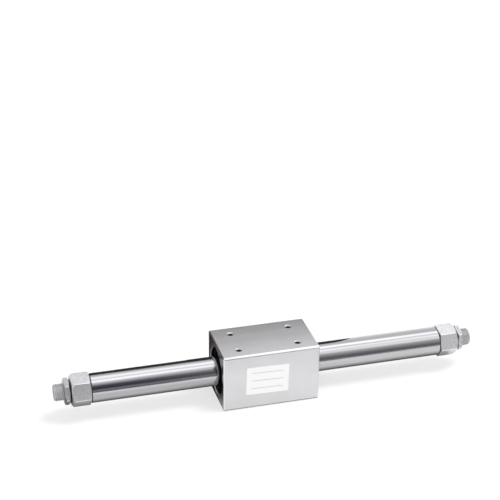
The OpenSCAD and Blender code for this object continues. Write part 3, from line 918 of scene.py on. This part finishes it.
tent_mesh = bmesh.new()
edge_ends = [tent_mesh.verts.new((x, -TENT_RADIUS, 0)) for x in (-TENT_HALF_LENGTH, TENT_HALF_LENGTH)]
tent_edge = tent_mesh.edges.new(edge_ends)
bmesh.ops.spin(tent_mesh, geom=edge_ends + [tent_edge], cent=(0, 0, 0), axis=(1, 0, 0), angle=-math.pi,
               steps=TENT_STEPS)
hem = bmesh.ops.extrude_edge_only(tent_mesh, edges=[tent_edge])["geom"]
for vert in only(bmesh.types.BMVert, hem):
    vert.co = (vert.co.x, TENT_HEM, cad_low.z + TENT_LIFT)
seen_in_reflections_only("light_tent", tent_mesh, tent_cloth())

# --- Dark cloth and painted shadows ----------------------------------------
# A black cloth leans behind the cylinder. Sheets of painted shadow lie on the
# floor under the cylinder and the slider, and with the cloth they give the steel
# its dark bands. Only reflections see them.

CLOTH_AND_SHADOW_BLACK = (0.040, 0.030, 0.026, 1.0)
LEANING_LEFT_END = -0.118
LEANING_RIGHT_END = 0.060
LEANING_TOP = 0.051
LEANING_FOOT = 0.004
LEANING_FRONT = 0.0185
LEAN = math.radians(66)
FOOT_LEFT_OF_SLIDER = 12 * MM
FOOT_UNDER_SLIDER = 3 * MM
SHADE_LEFT_END = -0.3
SHADE_RIGHT_END = 0.116
SHADE_FRONT = -0.08
# Where along Y the painted shadow on the floor turns black, where it turns grey before that, and
# where along X the grey begins
SHADE_TURNS_BLACK = (-0.018, 0.002)
SHADE_TURNS_GREY = (-0.055, -0.025)
SHADE_GREY_SIDE = (0.060, 0.0)
SHADE_GREY = 0.2
SLIDER_SHADE_BEFORE = 0.3 * MM
SLIDER_SHADE_BEHIND = 3 * MM
FLOOR_SHEET_HEIGHT = 0.5 * MM
SLIDER_SHADOW_HEIGHT = 0.2 * MM


def black_cloth_and_shadow():
    """Matt black with a little brown, for the cloth and for the painted shadows."""
    material, tree = new_material("black_cloth_and_shadow")
    set_sockets(tree, {"Base Color": CLOTH_AND_SHADOW_BLACK, "Roughness": 0.9, "Specular IOR Level": 0.1})
    return material


def floor_shade():
    """Painted shadow on the floor: dark close under the cylinder, and a light grey in front of its left half.
    """
    material = black_cloth_and_shadow()
    tree = material.node_tree
    axes = node(tree, "SeparateXYZ", {0: node(tree, "TexCoord").outputs["Object"]}).outputs
    beneath = carry_over(tree, axes["Y"], SHADE_TURNS_BLACK)
    in_front = carry_over(tree, axes["Y"], SHADE_TURNS_GREY, (0.0, SHADE_GREY))
    to_the_left = carry_over(tree, axes["X"], SHADE_GREY_SIDE)
    grey = calculate(tree, "MULTIPLY", in_front, to_the_left)
    feed(tree, "Alpha", calculate(tree, "MAXIMUM", beneath, grey))
    return material


def lay_sheet(name, covering, left, right, front, back):
    """A sheet between a front edge and a back edge, each given as (y, z): the black cloth and the painted
    shadows alike.
    """
    sheet = bmesh.new()
    corners = [(left, *front), (right, *front), (right, *back), (left, *back)]
    bmesh.ops.contextual_create(sheet, geom=[sheet.verts.new(corner) for corner in corners])
    seen_in_reflections_only(name, sheet, covering)


def leaning(z):
    """The point (y, z) at which the leaning cloth reaches a height."""
    return LEANING_FRONT + (z - cad_low.z) / math.tan(LEAN), z


floor_sheet = cad_low.z + FLOOR_SHEET_HEIGHT
slider_shadow = cad_low.z + SLIDER_SHADOW_HEIGHT
black = black_cloth_and_shadow()
lay_sheet("flag_behind", black, LEANING_LEFT_END, LEANING_RIGHT_END, leaning(LEANING_FOOT),
          leaning(LEANING_TOP))
lay_sheet("flag_foot", black, slider_low.x - FOOT_LEFT_OF_SLIDER, slider_low.x + FOOT_UNDER_SLIDER,
          leaning(floor_sheet), leaning(LEANING_FOOT))
# Painted shadow on the floor under and in front of the cylinder
lay_sheet("painted_shadow_beneath", floor_shade(), SHADE_LEFT_END, SHADE_RIGHT_END, (SHADE_FRONT, floor_sheet),
          (LEANING_FRONT, floor_sheet))
# Painted shadow on the floor along the slider's front edge
lay_sheet("painted_shadow_under_slider", black, slider_low.x, slider_high.x,
          (slider_low.y - SLIDER_SHADE_BEFORE, slider_shadow),
          (slider_low.y + SLIDER_SHADE_BEHIND, slider_shadow))

# --- Lamps and room --------------------------------------------------------
# Two large soft lamps, one nearly overhead and one in front, and an even fill
# from the white room.

ROOM_FILL = 0.5


def soft_light(name, strength, spread, forwards, rightwards):
    """An even soft light from above, leaning towards the front and the right by angles in degrees."""
    light = bpy.data.lights.new(name, "SUN")
    light.energy = strength
    light.angle = math.radians(spread)
    lamp = bpy.data.objects.new(name, light)
    lean = Matrix.Rotation(math.radians(rightwards), 4, "Y") @ Matrix.Rotation(math.radians(forwards), 4, "X")
    lamp.matrix_world = Matrix.Translation((0, -1, 1)) @ lean
    lamp.visible_glossy = False
    bpy.context.scene.collection.objects.link(lamp)


soft_light("overhead_softbox", strength=1.8, spread=26, forwards=6, rightwards=24)
soft_light("front_softbox", strength=1.5, spread=40, forwards=68, rightwards=0)

world = bpy.data.worlds.new("studio_room")
bpy.context.scene.world = world
world.use_nodes = True
room = world.node_tree
fill = room.nodes["Background"]
fill.inputs["Color"].default_value = WHITE
brightness = carry_over(room, background_share(room), (0.0, 1.0), (ROOM_FILL, 1.0))
room.links.new(brightness, fill.inputs["Strength"])

# --- Camera ----------------------------------------------------------------
# A long lens from the front left, looking down on the slider, with the
# cylinder running away to the right in the lower half of the frame.

CAMERA_AZIMUTH = math.radians(15.76)
CAMERA_ELEVATION = math.radians(26.16)
CAMERA_ROLL = math.radians(0.37)
CAMERA_DISTANCE = 1.0064
CAMERA_TARGET = Vector((0.0305, 0.1474, 0.0))
CAMERA_LENS = 107.6
CAMERA_SENSOR = 36

looking = Vector((
    math.sin(CAMERA_AZIMUTH) * math.cos(CAMERA_ELEVATION),
    math.cos(CAMERA_AZIMUTH) * math.cos(CAMERA_ELEVATION),
    -math.sin(CAMERA_ELEVATION),
))
camera_data = bpy.data.cameras.new("camera")
camera_data.lens = CAMERA_LENS
camera_data.sensor_width = CAMERA_SENSOR
camera = bpy.data.objects.new("camera", camera_data)
camera.rotation_mode = "QUATERNION"
camera.location = CAMERA_TARGET - looking * CAMERA_DISTANCE
camera.rotation_quaternion = (
    looking.to_track_quat("-Z", "Y") @ Matrix.Rotation(CAMERA_ROLL, 4, "Z").to_quaternion()
)
bpy.context.scene.collection.objects.link(camera)
bpy.context.scene.camera = camera
bpy.context.scene.view_settings.view_transform = "Standard"
